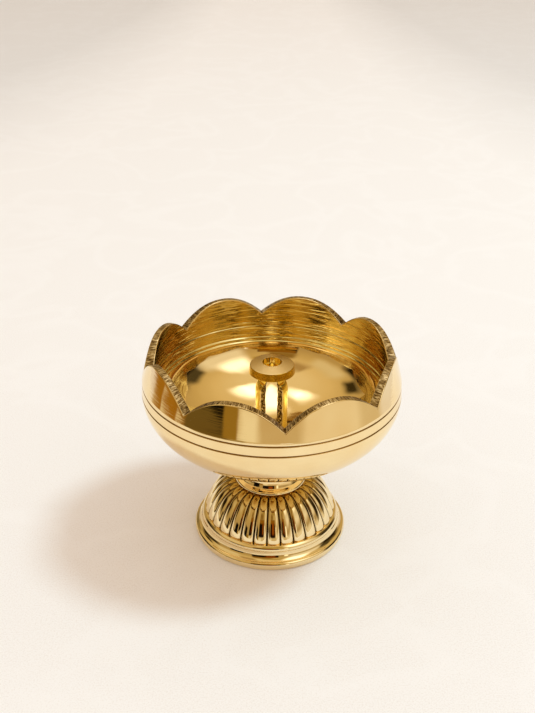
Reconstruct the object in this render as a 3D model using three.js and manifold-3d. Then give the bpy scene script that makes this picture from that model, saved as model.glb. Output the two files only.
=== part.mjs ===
// Pedestal diya: a brass oil lamp with a petal-edged bowl on a fluted foot, and a wick holder in the bowl.
// Millimetres, +Z up. The origin is on the lamp's axis, in the plane that the foot rests on.

import * as THREE from 'three';
import Module from 'manifold-3d';
import { mergeVertices, toCreasedNormals } from 'three/addons/utils/BufferGeometryUtils.js';

const wasm = await Module();
wasm.setup();

// Stack from the floor up
const footHeight = 23.6;
const collarHeight = 15.9;
const bowlSeatHeight = footHeight + collarHeight;

// Foot: turned base with a roll, a bead and thirty cast flutes
const footWall = 2.9;
const rollRadius = 31.1;
const rollHeight = 3.35;
const beadRadius = 28.15;
const beadHeight = 9.3;
const fluteCount = 30;
const fluteDepth = 1.05;
const fluteTurn = -2.5;
const fluteInset = 1.35;
const fluteFall = 1.45;
const crownRadius = 15.5;
const crownWall = 3;
const clampFaceRadius = 8.5;
const columnsPerFlute = 4;

// Neck collar: turned spool between the foot and the bowl
const collarBeadRadius = 14.5;
const collarBeadHeight = 2.8;
const collarWaistRadius = 9;
const collarTopRadius = 12.6;

// Bowl: cast lotus bowl, turned outside and inside
const bowlRadius = 50.3;
const bowlDepth = 28.28;
const bowlFullness = 2.13;
const bowlSeatRadius = 13.2;
const bandHeight = 5;
const bandInset = 0.4;
const bandLean = 0.26;
const grooveDepth = 0.5;
const grooveHalfWidth = 0.33;
const lowGrooveDrop = 0.4;
const highGrooveRise = 3.6;
const petalCount = 8;
const petalTurn = 5.56;
const petalFoot = 3.3;
const petalRise = 8.6;
const petalRoundness = 2.18;
const rimBevel = 0.3;
const creaseWall = 4.1;
const innerLean = 0.17;
const wallDraft = 0.4;
const ridgeDrop = 2.4;
const ridgeProud = 0.35;
const highShelfDrop = 7.6;
const lowShelfDrop = 9.15;
const shelfWidth = 0.5;
const shelfBevel = 0.35;
const dishWall = 5.8;
const dishDrop = 2;
const floorThickness = 3.5;
const floorRadius = 8.6;
const columnsPerPetal = 12;

// Wick holder: slotted tube and the disc on its top
const sealRadius = 7.5;
const sealThickness = 0.8;
const holderHeight = 29;
const stemRadius = 6.35;
const wickBoreRadius = 3.45;
const hubHeight = 3.6;
const flangeRadius = 7.5;
const flangeHeight = 1.5;
const domeHeight = 4;
const spigotRadius = 4.6;
const neckHeight = 3.9;
const spigotHeight = 1.7;
const windowHalfAngle = 47;
const windowHeadroom = 1;
const windowArchHeight = 9;
const discRadius = 9;
const discLean = 0.5;
const discEdgeHeight = 3;
const discCrownHeight = 1.15;
const discBoreRadius = 3.75;

// Fixing: an M5 stud through the whole stack, with a washer and nut under the foot's crown
const studRadius = 2.5;
const nutAcrossFlats = 8;
const nutHeight = 4;
const clampWasherRadius = 5;
const clampWasherThickness = 1;
const studEndBelowNut = 1.6;

// Clearances
const boreClearance = 0.3;
const spigotClearance = 0.3;
const studTopClearance = 0.2;

const boltBore = studRadius + boreClearance;
const roundColumns = 32;

const castBrass = new THREE.MeshStandardMaterial({ color: '#d9a441', roughness: 0.16, metalness: 1 });
const satinBrass = new THREE.MeshStandardMaterial({ color: '#c99a3c', roughness: 0.34, metalness: 1 });
const blackRubber = new THREE.MeshStandardMaterial({ color: '#1d1b1a', roughness: 0.8, metalness: 0 });
const platedSteel = new THREE.MeshStandardMaterial({ color: '#a9a8a2', roughness: 0.4, metalness: 1 });

const radians = THREE.MathUtils.degToRad;
const lerp = THREE.MathUtils.lerp;

// A closed section of [radius, height] points, given anticlockwise at each angle, swept round the axis.
function revolve(sectionAt, columns) {
  const sections = Array.from({ length: columns }, (_, column) => sectionAt((column / columns) * 2 * Math.PI));
  const rows = sections[0].length;
  const positions = [];
  const indices = [];
  sections.forEach((section, column) => {
    const angle = (column / columns) * 2 * Math.PI;
    const next = (column + 1) % columns;
    section.forEach(([radius, height], row) => {
      const nextRow = (row + 1) % rows;
      positions.push(radius * Math.cos(angle), radius * Math.sin(angle), height);
      const corners = [column * rows + row, next * rows + row, next * rows + nextRow, column * rows + nextRow];
      indices.push(corners[0], corners[1], corners[2], corners[0], corners[2], corners[3]);
    });
  });
  const geometry = new THREE.BufferGeometry();
  geometry.setAttribute('position', new THREE.Float32BufferAttribute(positions, 3));
  geometry.setIndex(indices);
  return geometry;
}

// Points on a quarter of a superellipse in the section: 0 degrees is at its widest, 90 at its bottom, or at its
// top if the depth is negative. A fullness of 2 is a plain ellipse.
function quarterArc({ radius, depth, centreHeight, from = 0, to = 90, steps, fullness = 2 }) {
  return Array.from({ length: steps + 1 }, (_, step) => {
    const angle = radians(lerp(from, to, step / steps));
    const across = Math.abs(Math.cos(angle)) ** (2 / fullness);
    const down = Math.sin(angle) ** (2 / fullness);
    return [radius * across, centreHeight - depth * down];
  });
}

// The angle at which such an arc has come in to a share of its radius.
function arcAngle(share, fullness = 2) {
  return THREE.MathUtils.radToDeg(Math.acos(share ** (fullness / 2)));
}

function toSolid(geometry) {
  const bare = geometry.clone();
  bare.deleteAttribute('normal');
  bare.deleteAttribute('uv');
  const merged = mergeVertices(bare);
  return new wasm.Manifold(new wasm.Mesh({
    numProp: 3,
    vertProperties: new Float32Array(merged.attributes.position.array),
    triVerts: new Uint32Array(merged.index.array),
  }));
}

function toGeometry(solid) {
  const { vertProperties, triVerts } = solid.getMesh();
  const geometry = new THREE.BufferGeometry();
  geometry.setAttribute('position', new THREE.BufferAttribute(vertProperties, 3));
  geometry.setIndex(new THREE.BufferAttribute(triVerts, 1));
  return geometry;
}

function piece(name, geometry, material) {
  const mesh = new THREE.Mesh(toCreasedNormals(geometry, radians(30)), material);
  mesh.name = name;
  return mesh;
}

// Bowl

const seatShare = bowlSeatRadius / bowlRadius;
const bowlWidestHeight = bowlSeatHeight + bowlDepth * (1 - seatShare ** bowlFullness) ** (1 / bowlFullness);
const bandTopHeight = bowlWidestHeight + bandHeight;
const bandTopRadius = bowlRadius - bandInset;
const bowlFloorHeight = bowlSeatHeight + floorThickness;

// The band's outside leans in by a constant amount for each millimetre above its crease.
function petalWallRadius(height) {
  return bandTopRadius - bandLean * (height - bandTopHeight);
}

// Each petal's edge is a rounded arch that meets its neighbours in sharp valleys.
function petalEdgeHeight(angle) {
  const petalAngle = (2 * Math.PI) / petalCount;
  const fromValley = THREE.MathUtils.euclideanModulo(angle, petalAngle) / petalAngle;
  const across = Math.abs(2 * fromValley - 1);
  return bandTopHeight + petalFoot + petalRise * (1 - across ** petalRoundness);
}

function groove(radius, height) {
  return [
    [radius, height - grooveHalfWidth],
    [radius - grooveDepth, height],
    [radius, height + grooveHalfWidth],
  ];
}

// A thin turned ridge that stands in from the wall.
function ridge(radius, height) {
  return [
    [radius, height + ridgeProud],
    [radius - ridgeProud, height],
    [radius - 0.3 * ridgeProud, height - 0.7 * ridgeProud],
  ];
}

// A narrow turned shelf on which the wall steps in.
function shelf(radius, height) {
  return [
    [radius, height + shelfBevel],
    [radius - shelfWidth, height],
  ];
}

function bowlSection(angle) {
  const rimHeight = petalEdgeHeight(angle);
  const rimRadius = petalWallRadius(rimHeight);
  const outside = quarterArc({
    radius: bowlRadius,
    depth: bowlDepth,
    centreHeight: bowlWidestHeight,
    from: arcAngle(seatShare, bowlFullness),
    to: 4,
    steps: 10,
    fullness: bowlFullness,
  });
  const dishRadius = bowlRadius - dishWall;
  const dishTop = bowlWidestHeight - dishDrop;
  const floorShare = floorRadius / dishRadius;
  const dish = quarterArc({
    radius: dishRadius,
    depth: (dishTop - bowlFloorHeight) / Math.sqrt(1 - floorShare ** 2),
    centreHeight: dishTop,
    from: 7,
    to: arcAngle(floorShare),
    steps: 10,
  });
  const innerRadius = bandTopRadius - creaseWall;
  const footRadius = innerRadius - wallDraft;
  return [
    [boltBore, bowlSeatHeight],
    ...outside,
    ...groove(bowlRadius, bowlWidestHeight - lowGrooveDrop),
    ...groove(bandTopRadius + 0.1, bowlWidestHeight + highGrooveRise),
    [bandTopRadius, bandTopHeight],
    [rimRadius, rimHeight],
    [innerRadius - innerLean * (rimHeight - bandTopHeight), rimHeight + rimBevel],
    [innerRadius, bandTopHeight],
    ...ridge(innerRadius, bandTopHeight - ridgeDrop),
    ...shelf(footRadius, bandTopHeight - highShelfDrop),
    ...shelf(footRadius - shelfWidth, bandTopHeight - lowShelfDrop),
    ...dish,
    [boltBore, bowlFloorHeight],
  ];
}

function makeBowl() {
  const bowl = piece('bowl', revolve(bowlSection, petalCount * columnsPerPetal), castBrass);
  bowl.rotation.z = radians(petalTurn - 90);
  return bowl;
}

// Foot

function fluteCrestRadius(height) {
  const share = (height - beadHeight) / (footHeight - beadHeight);
  const baseRadius = beadRadius - fluteInset;
  return crownRadius + (baseRadius - crownRadius) * Math.sqrt(1 - share ** fluteFall);
}

// Each flute is a rounded rib between two sharp valleys.
function footSection(angle) {
  const acrossRib = THREE.MathUtils.euclideanModulo((angle * fluteCount) / (2 * Math.PI), 1);
  const roundness = Math.sin(Math.PI * acrossRib) ** 0.6;
  const flutes = [0.02, 0.1, 0.25, 0.42, 0.6, 0.78, 0.92, 1].map((share) => {
    const height = lerp(beadHeight, footHeight, share);
    const depth = fluteDepth * Math.min(1, 4 * share + 0.4) * (1 - 0.5 * share);
    return [fluteCrestRadius(height) - depth * (1 - roundness), height];
  });
  const ceiling = footHeight - crownWall;
  const hollow = quarterArc({
    radius: beadRadius - footWall - clampFaceRadius,
    depth: -ceiling,
    centreHeight: 0,
    from: 90,
    to: 15,
    steps: 6,
  }).map(([radius, height]) => [clampFaceRadius + radius, height]);
  return [
    [rollRadius - 3.6, 0],
    [rollRadius - 0.5, 0],
    [rollRadius, 0.45 * rollHeight],
    [rollRadius - 0.05, 0.8 * rollHeight],
    [rollRadius - 0.6, rollHeight],
    [beadRadius + 0.9, rollHeight + 0.55],
    [beadRadius + 0.1, lerp(rollHeight, beadHeight, 0.3)],
    [beadRadius - 0.1, lerp(rollHeight, beadHeight, 0.43)],
    [beadRadius, lerp(rollHeight, beadHeight, 0.62)],
    [beadRadius - 0.2, lerp(rollHeight, beadHeight, 0.85)],
    [beadRadius - 0.65, beadHeight],
    ...flutes,
    [boltBore, footHeight],
    [boltBore, ceiling],
    ...hollow,
  ];
}

function makeFoot() {
  const foot = piece('foot', revolve(footSection, fluteCount * columnsPerFlute), castBrass);
  foot.rotation.z = radians(fluteTurn - 90);
  return foot;
}

// Neck collar

function makeNeckCollar() {
  const beadTop = footHeight + collarBeadHeight;
  const section = [
    [boltBore, footHeight],
    [collarBeadRadius - 0.9, footHeight],
    [collarBeadRadius, lerp(footHeight, beadTop, 0.3)],
    [collarBeadRadius, lerp(footHeight, beadTop, 0.7)],
    [collarBeadRadius - 1, beadTop],
    [collarBeadRadius - 2.8, beadTop + 0.2],
    [collarWaistRadius + 1.2, beadTop + 1],
    [collarWaistRadius, lerp(beadTop, bowlSeatHeight, 0.28)],
    [collarWaistRadius, lerp(beadTop, bowlSeatHeight, 0.45)],
    [collarWaistRadius + 0.9, lerp(beadTop, bowlSeatHeight, 0.72)],
    [collarTopRadius - 0.8, bowlSeatHeight - 1.2],
    [collarTopRadius, bowlSeatHeight],
    [boltBore, bowlSeatHeight],
  ];
  return piece('neck_collar', revolve(() => section, roundColumns), castBrass);
}

// Wick holder

const sealTopHeight = bowlFloorHeight + sealThickness;
const hubTopHeight = sealTopHeight + hubHeight;
const shoulderHeight = sealTopHeight + holderHeight;
const spigotTopHeight = shoulderHeight + spigotHeight;

// A wedge between two radial planes, with an arched head and a flat sill on the hub.
function windowWedge() {
  const halfWidth = Math.tan(radians(windowHalfAngle));
  const archTop = shoulderHeight - windowHeadroom;
  const archFoot = archTop - windowArchHeight;
  const outline = new THREE.Shape();
  outline.moveTo(-halfWidth, hubTopHeight);
  outline.lineTo(halfWidth, hubTopHeight);
  outline.lineTo(halfWidth, archFoot);
  outline.absellipse(0, archFoot, halfWidth, windowArchHeight, 0, Math.PI, false);
  const wedge = new THREE.ExtrudeGeometry(outline, { depth: 1, bevelEnabled: false, curveSegments: 7 });
  const near = 1;
  const far = stemRadius + 2;
  const position = wedge.attributes.position;
  for (let index = 0; index < position.count; index += 1) {
    const reach = lerp(near, far, position.getZ(index));
    position.setXYZ(index, -position.getX(index) * reach, reach, position.getY(index));
  }
  return wedge;
}

function makeWickStem() {
  const neckFoot = shoulderHeight - neckHeight;
  const dome = quarterArc({
    radius: stemRadius - spigotRadius,
    depth: -domeHeight,
    centreHeight: neckFoot - domeHeight,
    steps: 5,
  }).map(([radius, height]) => [spigotRadius + radius, height]);
  const section = [
    [boltBore, sealTopHeight],
    [flangeRadius, sealTopHeight],
    [flangeRadius, sealTopHeight + flangeHeight - 0.3],
    [flangeRadius - 0.4, sealTopHeight + flangeHeight],
    [stemRadius, sealTopHeight + flangeHeight],
    ...dome,
    [spigotRadius, spigotTopHeight],
    [wickBoreRadius, spigotTopHeight],
    [wickBoreRadius, hubTopHeight],
    [boltBore, hubTopHeight],
  ];
  const front = windowWedge();
  const back = front.clone().rotateZ(Math.PI);
  const tube = toSolid(revolve(() => section, roundColumns));
  const slotted = tube.subtract(toSolid(front)).subtract(toSolid(back));
  return piece('wick_stem', toGeometry(slotted), satinBrass);
}

function makeWickDisc() {
  const underside = shoulderHeight;
  const counterbore = spigotRadius + spigotClearance;
  const section = [
    [counterbore, underside],
    [discRadius - 0.25, underside],
    [discRadius, underside + 0.25],
    [discRadius - discLean, underside + discEdgeHeight - 0.2],
    [discRadius - discLean - 0.2, underside + discEdgeHeight],
    [discBoreRadius, underside + discEdgeHeight + discCrownHeight],
    [discBoreRadius, spigotTopHeight],
    [counterbore, spigotTopHeight],
  ];
  return piece('wick_disc', revolve(() => section, roundColumns), satinBrass);
}

function flatRing(name, innerRadius, outerRadius, bottom, thickness, material) {
  const section = [
    [innerRadius, bottom],
    [outerRadius, bottom],
    [outerRadius, bottom + thickness],
    [innerRadius, bottom + thickness],
  ];
  return piece(name, revolve(() => section, roundColumns), material);
}

// Fixing stud, washer and nut

const clampFaceHeight = footHeight - crownWall;
const nutTopHeight = clampFaceHeight - clampWasherThickness;
const nutBottomHeight = nutTopHeight - nutHeight;

function makeFixingStud() {
  const bottom = nutBottomHeight - studEndBelowNut;
  const top = hubTopHeight - studTopClearance;
  const chamfer = 0.4;
  const outline = [
    [0, bottom],
    [studRadius - chamfer, bottom],
    [studRadius, bottom + chamfer],
    [studRadius, top - chamfer],
    [studRadius - chamfer, top],
    [0, top],
  ].map(([radius, height]) => new THREE.Vector2(radius, height));
  const rod = new THREE.LatheGeometry(outline, roundColumns).rotateX(Math.PI / 2);
  return piece('fixing_stud', rod, platedSteel);
}

function makeClampNut() {
  const corner = nutAcrossFlats / Math.sqrt(3);
  const outline = new THREE.Shape();
  for (let side = 0; side < 6; side += 1) {
    const angle = radians(60 * side);
    const step = side === 0 ? 'moveTo' : 'lineTo';
    outline[step](corner * Math.cos(angle), corner * Math.sin(angle));
  }
  const bore = new THREE.Path().absarc(0, 0, boltBore, 0, 2 * Math.PI, true);
  outline.holes.push(bore);
  const prism = new THREE.ExtrudeGeometry(outline, { depth: nutHeight, bevelEnabled: false, curveSegments: 12 });
  return piece('clamp_nut', prism.translate(0, 0, nutBottomHeight), platedSteel);
}

const diya = new THREE.Group();
diya.add(
  makeBowl(),
  makeFoot(),
  makeNeckCollar(),
  makeWickStem(),
  makeWickDisc(),
  flatRing('sealing_washer', boltBore, sealRadius, bowlFloorHeight, sealThickness, blackRubber),
  makeFixingStud(),
  flatRing('clamp_washer', boltBore, clampWasherRadius, nutTopHeight, clampWasherThickness, platedSteel),
  makeClampNut(),
);

export default diya;
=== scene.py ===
import math

import bmesh
import bpy
import numpy as np
from mathutils import Matrix, Vector


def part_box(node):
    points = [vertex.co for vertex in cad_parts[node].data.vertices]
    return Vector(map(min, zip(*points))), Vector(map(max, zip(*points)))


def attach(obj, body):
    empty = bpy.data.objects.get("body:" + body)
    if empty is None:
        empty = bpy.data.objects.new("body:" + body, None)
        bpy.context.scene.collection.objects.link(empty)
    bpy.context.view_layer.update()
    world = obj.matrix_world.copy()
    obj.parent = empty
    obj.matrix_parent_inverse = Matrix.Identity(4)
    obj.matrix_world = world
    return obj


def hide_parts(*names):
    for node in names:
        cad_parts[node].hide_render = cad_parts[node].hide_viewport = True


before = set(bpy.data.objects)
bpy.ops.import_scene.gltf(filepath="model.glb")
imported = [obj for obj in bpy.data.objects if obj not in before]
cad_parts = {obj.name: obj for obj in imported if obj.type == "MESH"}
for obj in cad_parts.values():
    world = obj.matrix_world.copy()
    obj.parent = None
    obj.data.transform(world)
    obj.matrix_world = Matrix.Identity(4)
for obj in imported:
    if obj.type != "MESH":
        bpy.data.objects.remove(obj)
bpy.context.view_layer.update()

# Camera
# A photograph taken from a little above, in front of one valley between two petals.
# The lens and the place were solved from the petals, the grooves and the foot.

# The scene is in metres, and the pieces' sizes are written in millimetres.
MM = 0.001
FOCAL_PX = 1000
PHOTO_HEIGHT_PX = 713
CAMERA_ELEVATION = math.radians(28.29)
CAMERA_ROLL = math.radians(0.7)
CAMERA_DISTANCE = 383.1 * MM
CAMERA_TARGET = Vector((-1.78, 0, 79.16)) * MM


def photo_camera():
    back = Vector((0, -math.cos(CAMERA_ELEVATION), math.sin(CAMERA_ELEVATION)))
    right = Vector((1, 0, 0))
    up = back.cross(right)
    across = right * math.cos(CAMERA_ROLL) + up * math.sin(CAMERA_ROLL)
    upward = up * math.cos(CAMERA_ROLL) - right * math.sin(CAMERA_ROLL)
    data = bpy.data.cameras.new("photo_camera")
    data.sensor_width = 36
    data.lens = FOCAL_PX * data.sensor_width / PHOTO_HEIGHT_PX
    data.clip_start = 0.01
    camera = bpy.data.objects.new("photo_camera", data)
    bpy.context.collection.objects.link(camera)
    place = Matrix((across, upward, back)).transposed().to_4x4()
    place.translation = CAMERA_TARGET + back * CAMERA_DISTANCE
    camera.matrix_world = place
    bpy.context.scene.camera = camera


photo_camera()
bpy.context.scene.view_settings.view_transform = "Standard"


# Studio
# A pale handmade paper on a table, lit by one soft lamp from the right and by the light of a warm room.
# The polished brass mirrors soft patches of light and dark that stand all round it.
def linear(code, gain=1.0):
    """An sRGB hex colour as linear RGBA, times a gain."""
    channels = [int(code[i : i + 2], 16) / 255 for i in (1, 3, 5)]
    return [gain * (c / 12.92 if c <= 0.04045 else ((c + 0.055) / 1.055) ** 2.4) for c in channels] + [1]


def add(tree, kind, settings=None, inputs=(), stops=()):
    """A node with its settings, its inputs by name or in turn, and a colour ramp's (position, colour) stops.

    An input takes a value, another node's socket, or a node, which stands for its first output.
    """
    node = tree.nodes.new(kind)
    for key, value in (settings or {}).items():
        setattr(node, key, value)
    for key, value in inputs.items() if isinstance(inputs, dict) else enumerate(inputs):
        source = value.outputs[0] if isinstance(value, bpy.types.Node) else value
        if isinstance(source, bpy.types.NodeSocket):
            tree.links.new(source, node.inputs[key])
        else:
            node.inputs[key].default_value = source
    for index, (position, colour) in enumerate(stops):
        elements = node.color_ramp.elements
        element = elements[index] if index < 2 else elements.new(position)
        element.position = position
        element.color = linear(colour)
    return node


# Handmade cotton paper, pressed and dried: matt, nearly white, with a felt grain of 0.6 mm and a few faint
# veins, some 70 mm apart. Towards its two far corners it is painted a little greyer: painted shade, where the
# lamp's light falls off.
def paper():
    material = bpy.data.materials.new("handmade_paper_matt")
    material.use_nodes = True
    tree = material.node_tree
    shader = tree.nodes["Principled BSDF"]
    place = add(tree, "ShaderNodeTexCoord").outputs["Object"]
    felt = add(tree, "ShaderNodeTexNoise", inputs={"Vector": place, "Scale": 1.7 / MM, "Detail": 3})
    clouds = {"Vector": place, "Scale": 0.014 / MM, "Detail": 3, "Distortion": 0.6}
    cloud = add(tree, "ShaderNodeTexNoise", inputs=clouds)
    middle = add(tree, "ShaderNodeMath", {"operation": "SUBTRACT"}, (cloud, 0.5))
    vein = add(tree, "ShaderNodeMath", {"operation": "ABSOLUTE"}, (middle,))
    paler = add(tree, "ShaderNodeMapRange", inputs=(vein, 0.0, 1 / 18, 0.0, -0.04))
    grain = add(tree, "ShaderNodeMath", {"operation": "MULTIPLY_ADD"}, (felt, 0.6, paler))
    tone = add(tree, "ShaderNodeValToRGB", inputs=(grain,), stops=((0.1, "#EFE6DB"), (0.3, "#FBF5ED")))
    parts = add(tree, "ShaderNodeSeparateXYZ", inputs=(place,)).outputs
    aside = add(tree, "ShaderNodeMath", {"operation": "ABSOLUTE"}, (parts["X"],))
    behind = add(tree, "ShaderNodeMath", {"operation": "MAXIMUM"}, (parts["Y"], 0.0))
    corner = add(tree, "ShaderNodeMath", {"operation": "MULTIPLY"}, (aside, behind))
    # painted shade: the paper is made greyer towards its two far corners, for the light falling off there.
    painted_falloff_grey = add(tree, "ShaderNodeMapRange", inputs=(corner, 0.1, 0.25, 1.0, 0.84))
    shaded = add(tree, "ShaderNodeHueSaturation", inputs={"Value": painted_falloff_grey, "Color": tone})
    tree.links.new(shaded.outputs[0], shader.inputs["Base Color"])
    shader.inputs["Roughness"].default_value = 0.9
    bump = add(tree, "ShaderNodeBump", inputs={"Strength": 0.4, "Distance": 0.06 * MM, "Height": felt})
    tree.links.new(bump.outputs[0], shader.inputs["Normal"])
    return material


def studio_floor():
    """The paper as a near disc, which the brass mirrors, and a far ring, which it doesn't."""
    material = paper()
    sides, near, far = 96, 0.26, 5
    angles = [2 * math.pi * i / sides for i in range(sides)]
    middle = [(near * math.cos(a), near * math.sin(a), 0) for a in angles]
    rim = [(far * math.cos(a), far * math.sin(a), 0) for a in angles]
    around = [(i, i + sides, (i + 1) % sides + sides, (i + 1) % sides) for i in range(sides)]
    disc = [tuple(range(sides))]
    for name, points, faces in (("paper_near", middle, disc), ("paper_far", middle + rim, around)):
        mesh = bpy.data.meshes.new(name)
        mesh.from_pydata(points, [], faces)
        mesh.materials.append(material)
        sheet = bpy.data.objects.new(name, mesh)
        bpy.context.collection.objects.link(sheet)
        sheet.visible_glossy = name == "paper_near"


def key_lamp():
    lamp = bpy.data.lights.new("key_soft_lamp", "AREA")
    lamp.shape = "DISK"
    lamp.size = 0.42
    lamp.energy = 16.4
    lamp.color = linear("#CBEBFF")[:3]
    box = bpy.data.objects.new("key_soft_lamp", lamp)
    bpy.context.collection.objects.link(box)
    box.location = (0.9, 0.12, 1.78)
    aim = Vector((0, 0, 0.03))
    box.rotation_euler = (aim - box.location).to_track_quat("-Z", "Y").to_euler()
    box.visible_glossy = False


def patch(tree, azimuth, elevation, centre, half, soft):
    """1 inside a soft-edged rectangle of directions, given in degrees, and 0 outside."""
    sides = []
    for value, middle, reach in ((azimuth, centre[0], half[0]), (elevation, centre[1], half[1])):
        away = add(tree, "ShaderNodeMath", {"operation": "SUBTRACT"}, (value, math.radians(middle)))
        wrapped = add(tree, "ShaderNodeMath", {"operation": "WRAP"}, (away, math.pi, -math.pi))
        size = add(tree, "ShaderNodeMath", {"operation": "ABSOLUTE"}, (wrapped,))
        spread = (size, math.radians(reach + soft), math.radians(reach - soft), 0.0, 1.0)
        sides.append(add(tree, "ShaderNodeMapRange", {"interpolation_type": "SMOOTHSTEP"}, spread))
    return add(tree, "ShaderNodeMath", {"operation": "MULTIPLY"}, sides)


# The room's walls: elevation in degrees, and colour.
WALLS = [
    (-15, "#DCC9A6"),
    (0, "#D9C49C"),
    (6, "#AD9160"),
    (22, "#B89A62"),
    (40, "#CAAC70"),
    (55, "#DDC088"),
    (72, "#E7CFA0"),
]

# The patches: azimuth to the right of the front and elevation, half widths, edge, in degrees; colour; gain.
ROOM = [
    ((0, -6), (28, 9), 4, "#CDB488", 1),
    ((-18, -4), (8, 6), 4, "#F0E2C4", 1),
    ((52, -6), (26, 10), 6, "#EDDCBE", 1),
    ((120, -12), (18, 9), 5, "#F0E9E6", 1),
    ((-128, -14), (9, 9), 3, "#EDE4E0", 1),
    ((-116, -10), (10, 6.5), 1.2, "#A2701E", 1),
    ((-97, -8), (12, 5.6), 1.2, "#A2701E", 1),
    ((-80, -6), (9, 4.6), 1.2, "#94681E", 1),
    ((-45, -13), (24, 6), 3, "#A58D5A", 1),
    ((-56, -6), (20, 7), 3, "#6A5426", 1),
    ((-50, 4), (11, 9), 1.5, "#0A0704", 1),
    ((-33.5, -2), (6, 6), 1.5, "#96732A", 1),
    ((-103, 16), (19, 11), 6, "#241A08", 1),
    ((-115, 35), (9, 7), 4, "#3A2E14", 1),
    ((-148, 24), (9, 15), 5, "#66583A", 1),
    ((104, 14), (20, 16), 8, "#2A1E0A", 1),
    ((100, 31), (12, 9), 5, "#4E4228", 1),
    ((140, 6), (14, 6), 4, "#E6D6CC", 1),
    ((-150, 6), (14, 5), 4, "#C9B7A4", 1),
    ((-12, 40), (16, 8), 5, "#8E6C30", 1),
    ((-6, 18), (21, 14.5), 1.5, "#1A0E04", 1),
    ((-6, 29), (20, 4), 2, "#8A5A12", 1),
    ((2, 18), (7, 9), 3, "#8A4408", 1),
    ((25, 11), (3, 8), 1.5, "#FFF4DC", 1.3),
    ((-75, 42), (22, 10), 8, "#DCC79C", 1),
    ((58, 30), (26, 14), 8, "#EFE0C4", 1),
    ((6, 53), (20, 8), 5, "#B0924C", 1),
    ((-45, 62), (15, 8), 6, "#B0905C", 1),
    ((54, 55), (20, 12), 9, "#FFFAF0", 1.8),
    ((-148, 67), (9, 5), 7, "#FFFCF4", 2.6),
    ((146, 72), (18, 6), 7, "#FFFCF4", 2.4),
    ((180, 68), (8, 13), 5, "#FFFAEE", 2.3),
]


def room_light():
    world = bpy.data.worlds.new("warm_room")
    bpy.context.scene.world = world
    world.use_nodes = True
    tree = world.node_tree
    background = tree.nodes["Background"]
    direction = add(tree, "ShaderNodeTexCoord").outputs["Generated"]
    parts = add(tree, "ShaderNodeSeparateXYZ", inputs=(direction,)).outputs
    forward = add(tree, "ShaderNodeMath", {"operation": "MULTIPLY"}, (parts["Y"], -1.0))
    azimuth = add(tree, "ShaderNodeMath", {"operation": "ARCTAN2"}, (parts["X"], forward))
    elevation = add(tree, "ShaderNodeMath", {"operation": "ARCSINE"}, (parts["Z"],))
    level = add(tree, "ShaderNodeMath", {"operation": "MULTIPLY_ADD"}, (elevation, 1 / math.pi, 0.5))
    walls = [((90 + degrees) / 180, code) for degrees, code in WALLS]
    room = add(tree, "ShaderNodeValToRGB", inputs=(level,), stops=walls).outputs[0]
    mixed = {"data_type": "RGBA"}
    for centre, half, soft, code, gain in ROOM:
        mask = patch(tree, azimuth, elevation, centre, half, soft)
        room = add(tree, "ShaderNodeMix", mixed, {0: mask, 6: room, 7: linear(code, gain)}).outputs[2]
    path = add(tree, "ShaderNodeLightPath").outputs
    fill, backdrop = linear("#EBDFD5"), linear("#E6D8CB")
    lit = add(tree, "ShaderNodeMix", mixed, {0: path["Is Glossy Ray"], 6: fill, 7: room}).outputs[2]
    seen = add(tree, "ShaderNodeMix", mixed, {0: path["Is Camera Ray"], 6: lit, 7: backdrop}).outputs[2]
    tree.links.new(seen, background.inputs["Color"])


studio_floor()
key_lamp()
room_light()


# Bowl
# A lotus bowl cast in brass, turned outside with two fine grooves and inside with two ridges.
# Its eight petals are sawn and filed on the edge, the dish inside is buffed to a mirror, and the stud's pull
# holds it on the neck collar.
def rounded(outline, steps):
    """The points of a closed outline of (radius, height, fillet) corners, each corner eased by a curve."""
    points = []
    for index, (radius, height, fillet) in enumerate(outline):
        corner = Vector((radius, height))
        before = Vector(outline[index - 1][:2]) - corner
        after = Vector(outline[(index + 1) % len(outline)][:2]) - corner
        reach = min(fillet, 0.45 * before.length, 0.45 * after.length)
        if fillet == 0:
            points.append(corner)
            continue
        start = corner + before.normalized() * reach
        end = corner + after.normalized() * reach
        for step in range(steps + 1):
            t = step / steps
            points.append(start * (1 - t) ** 2 + corner * 2 * t * (1 - t) + end * t * t)
    return [(p.x, p.y) for p in points]


def divided(points, longest):
    """The same closed outline with no side longer than that, in millimetres."""
    result = []
    for index, (r0, z0) in enumerate(points):
        r1, z1 = points[(index + 1) % len(points)]
        count = max(1, math.ceil(math.hypot(r1 - r0, z1 - z0) / longest))
        for step in range(count):
            t = step / count
            result.append((r0 + (r1 - r0) * t, z0 + (z1 - z0) * t))
    return result


def turned(name, points, columns, turn=0.0):
    """A closed anticlockwise outline in millimetres, swept round the axis into a mesh object in metres."""
    rows = len(points)
    angles = turn + np.arange(columns) * 2 * math.pi / columns
    radius = np.array([p[0] for p in points]) * MM
    height = np.array([p[1] for p in points]) * MM
    x = np.outer(np.cos(angles), radius)
    y = np.outer(np.sin(angles), radius)
    z = np.tile(height, (columns, 1))
    vertices = np.stack([x, y, z], axis=2).reshape(-1, 3)
    column, row = np.meshgrid(np.arange(columns), np.arange(rows), indexing="ij")
    after, above = (column + 1) % columns, (row + 1) % rows
    corners = [column * rows + row, after * rows + row, after * rows + above, column * rows + above]
    faces = np.stack(corners, axis=2).reshape(-1, 4)
    mesh = bpy.data.meshes.new(name)
    mesh.from_pydata(vertices.tolist(), [], faces.tolist())
    mesh.polygons.foreach_set("use_smooth", [True] * len(mesh.polygons))
    piece = bpy.data.objects.new(name, mesh)
    bpy.context.collection.objects.link(piece)
    return piece


def settled(piece):
    """Makes what a piece's modifiers give its plain mesh, and takes the modifiers off."""
    mesh = bpy.data.meshes.new_from_object(piece.evaluated_get(bpy.context.evaluated_depsgraph_get()))
    piece.modifiers.clear()
    piece.data = mesh


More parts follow.
